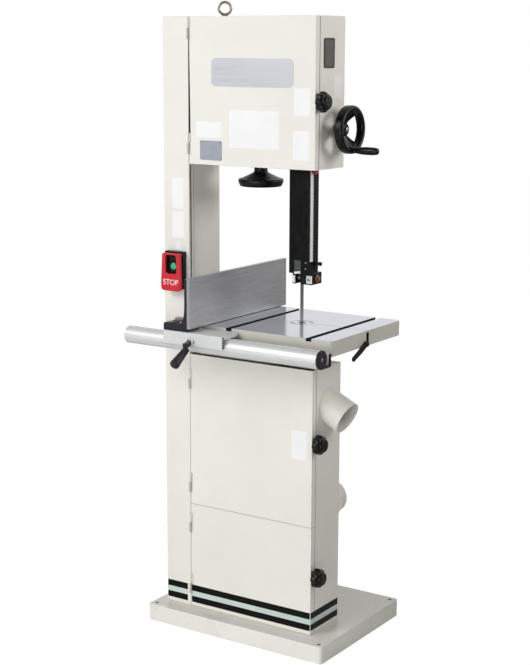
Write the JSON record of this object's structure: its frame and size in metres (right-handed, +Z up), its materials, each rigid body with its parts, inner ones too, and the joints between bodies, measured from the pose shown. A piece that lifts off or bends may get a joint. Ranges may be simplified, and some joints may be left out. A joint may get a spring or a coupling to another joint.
{
  "type": "band saw",
  "caption": "Floor-standing steel-frame vertical band saw with a tilting cast table, rip fence on a front rail, hinged doors and a geared guide post.",
  "frame": {"origin": "centre of the base's underside, on the floor", "axes": "+Z up; -Y towards the operator and the doors; -X towards the column"},
  "size_m": [0.7103, 0.702, 1.9344],
  "materials": {
    "paint": "smooth ivory enamel",
    "iron": "ground on working faces, rough cast elsewhere",
    "steel": "turned or ground",
    "aluminium": "anodised extrusion with fine lines",
    "black": "moulded, slightly textured",
    "rubber": "matt",
    "red": "moulded",
    "green": "moulded",
    "smoke": "smoked clear plastic"
  },
  "bodies": {
    "frame": {"base": "paint", "column": "paint", "upper_housing": "paint", "lower_cabinet": "paint", "head_door_top_hinge_pin": "steel", "head_door_bottom_hinge_pin": "steel", "wheel_door_top_hinge_pin": "steel", "wheel_door_bottom_hinge_pin": "steel", "motor_door_top_hinge_pin": "steel", "motor_door_bottom_hinge_pin": "steel", "side_window": "smoke", "eye_bolt": "steel", "side_dust_port": "paint", "rear_dust_port": "paint", "blade": "steel", "lower_bearing_housing": "iron", "drive_belt": "rubber", "motor": "paint", "tension_guideway": "iron", "tension_spring": "steel", "guide_post_bracket": "iron", "lower_guide_block": "black", "height_pointer": "red", "trunnion_cradle": "iron", "switch_box": "black"},
    "upper_door": {"upper_door": "paint", "door_window": "smoke"},
    "lower_door": {"lower_door": "paint"},
    "motor_door": {"motor_door": "paint"},
    "upper_door_knob": {"upper_door_knob": "black"},
    "lower_door_knob": {"lower_door_knob": "black"},
    "motor_door_knob": {"motor_door_knob": "black"},
    "tension_slide": {"tension_slide": "iron"},
    "tension_handwheel": {"tension_handwheel": "black"},
    "upper_wheel": {"upper_wheel": "iron", "upper_tire": "rubber"},
    "lower_wheel": {"lower_wheel": "iron", "lower_tire": "rubber", "lower_shaft": "steel"},
    "motor_pulley": {"motor_pulley": "steel"},
    "guide_post": {"guide_post": "steel", "blade_guard": "black", "upper_guide_block": "black"},
    "upper_left_guide": {"upper_left_guide": "steel"},
    "upper_right_guide": {"upper_right_guide": "steel"},
    "upper_backup_bearing": {"upper_backup_bearing": "steel"},
    "guide_handwheel": {"guide_handwheel": "black"},
    "crank_grip": {"crank_grip": "black"},
    "table": {"table": "iron", "table_insert": "iron", "table_trunnion": "iron", "front_rail": "aluminium", "rail_end_cap": "black"},
    "table_lock_lever": {"table_lock_lever": "black"},
    "fence": {"fence": "aluminium", "fence_bracket": "black", "fence_carriage": "aluminium"},
    "fence_lock_handle": {"fence_lock_handle": "black"},
    "switch_paddle": {"switch_paddle": "red"},
    "start_button": {"start_button": "green"}
  },
  "joints": [
    {"name": "upper_door_hinge", "type": "hinge", "parent": "frame", "child": "upper_door", "pos_m": [-0.1969, -0.1823, 1.6715], "axis": [0, 0, -1], "range_deg": [0, 120]},
    {"name": "lower_door_hinge", "type": "hinge", "parent": "frame", "child": "lower_door", "pos_m": [-0.1969, -0.1823, 0.6326], "axis": [0, 0, -1], "range_deg": [0, 120]},
    {"name": "motor_door_hinge", "type": "hinge", "parent": "frame", "child": "motor_door", "pos_m": [-0.1969, -0.1823, 0.22375], "axis": [0, 0, -1], "range_deg": [0, 120]},
    {"name": "upper_door_knob_turn", "type": "hinge", "parent": "frame", "child": "upper_door_knob", "pos_m": [0.252, -0.167, 1.6485], "axis": [1, 0, 0], "continuous": true},
    {"name": "lower_door_knob_turn", "type": "hinge", "parent": "frame", "child": "lower_door_knob", "pos_m": [0.252, -0.167, 0.65], "axis": [1, 0, 0], "continuous": true},
    {"name": "motor_door_knob_turn", "type": "hinge", "parent": "frame", "child": "motor_door_knob", "pos_m": [0.252, -0.167, 0.2373], "axis": [1, 0, 0], "continuous": true},
    {"name": "tension_handwheel_turn", "type": "hinge", "parent": "frame", "child": "tension_handwheel", "pos_m": [-0.0313, -0.036, 1.455], "axis": [0, 0, 1], "range_deg": [-1440, 0]},
    {"name": "tension_slide_travel", "type": "slide", "parent": "frame", "child": "tension_slide", "axis": [0, 0, 1], "range_m": [-0.012, 0]},
    {"name": "upper_wheel_spin", "type": "hinge", "parent": "tension_slide", "child": "upper_wheel", "pos_m": [-0.0313, -0.083, 1.66], "axis": [0, 1, 0], "continuous": true},
    {"name": "lower_wheel_spin", "type": "hinge", "parent": "frame", "child": "lower_wheel", "pos_m": [-0.0313, -0.083, 0.66], "axis": [0, 1, 0], "continuous": true},
    {"name": "motor_pulley_spin", "type": "hinge", "parent": "frame", "child": "motor_pulley", "pos_m": [-0.1003, -0.056, 0.27], "axis": [0, 1, 0], "continuous": true},
    {"name": "guide_post_travel", "type": "slide", "parent": "frame", "child": "guide_post", "axis": [0, 0, 1], "range_m": [-0.11, 0.19]},
    {"name": "guide_handwheel_turn", "type": "hinge", "parent": "frame", "child": "guide_handwheel", "pos_m": [0.246, -0.0637, 1.568], "axis": [-1, 0, 0], "range_deg": [-525, 907]},
    {"name": "crank_grip_spin", "type": "hinge", "parent": "guide_handwheel", "child": "crank_grip", "pos_m": [0.3, -0.0637, 1.509], "axis": [1, 0, 0], "continuous": true},
    {"name": "upper_left_guide_spin", "type": "hinge", "parent": "guide_post", "child": "upper_left_guide", "pos_m": [0.1467, -0.083, 1.1287], "axis": [1, 0, 0], "continuous": true},
    {"name": "upper_right_guide_spin", "type": "hinge", "parent": "guide_post", "child": "upper_right_guide", "pos_m": [0.1481, -0.083, 1.1287], "axis": [1, 0, 0], "continuous": true},
    {"name": "upper_backup_bearing_spin", "type": "hinge", "parent": "guide_post", "child": "upper_backup_bearing", "pos_m": [0.1474, -0.0732, 1.1287], "axis": [0, 1, 0], "continuous": true},
    {"name": "table_tilt", "type": "hinge", "parent": "frame", "child": "table", "pos_m": [0.1474, -0.083, 0.992], "axis": [0, 1, 0], "range_deg": [-5, 45]},
    {"name": "table_lock_lever_turn", "type": "hinge", "parent": "table", "child": "table_lock_lever", "pos_m": [0.3743, -0.1, 0.955], "axis": [-1, 0, 0], "range_deg": [-60, 60]},
    {"name": "fence_slide", "type": "slide", "parent": "table", "child": "fence", "axis": [-1, 0, 0], "range_m": [-0.15, 0.1]},
    {"name": "fence_lock_lift", "type": "hinge", "parent": "fence", "child": "fence_lock_handle", "pos_m": [-0.051, -0.3763, 0.9573], "axis": [-1, 0, 0], "range_deg": [0, 70]},
    {"name": "switch_paddle_hinge", "type": "hinge", "parent": "frame", "child": "switch_paddle", "pos_m": [-0.2428, -0.1995, 1.181], "axis": [-1, 0, 0], "range_deg": [-3, 70], "stiffness_Nm_per_rad": 0.05},
    {"name": "start_button_press", "type": "slide", "parent": "frame", "child": "start_button", "axis": [0, 1, 0], "range_m": [0, 0.003], "stiffness_N_per_m": 300}
  ],
  "couplings": [
    {"joint": "tension_slide_travel", "follows": "tension_handwheel_turn", "m_per_rad": 0.00047746},
    {"joint": "guide_post_travel", "follows": "guide_handwheel_turn", "m_per_rad": 0.012},
    {"joint": "upper_wheel_spin", "follows": "lower_wheel_spin", "ratio": 1},
    {"joint": "motor_pulley_spin", "follows": "lower_wheel_spin", "ratio": 2.1429}
  ]
}
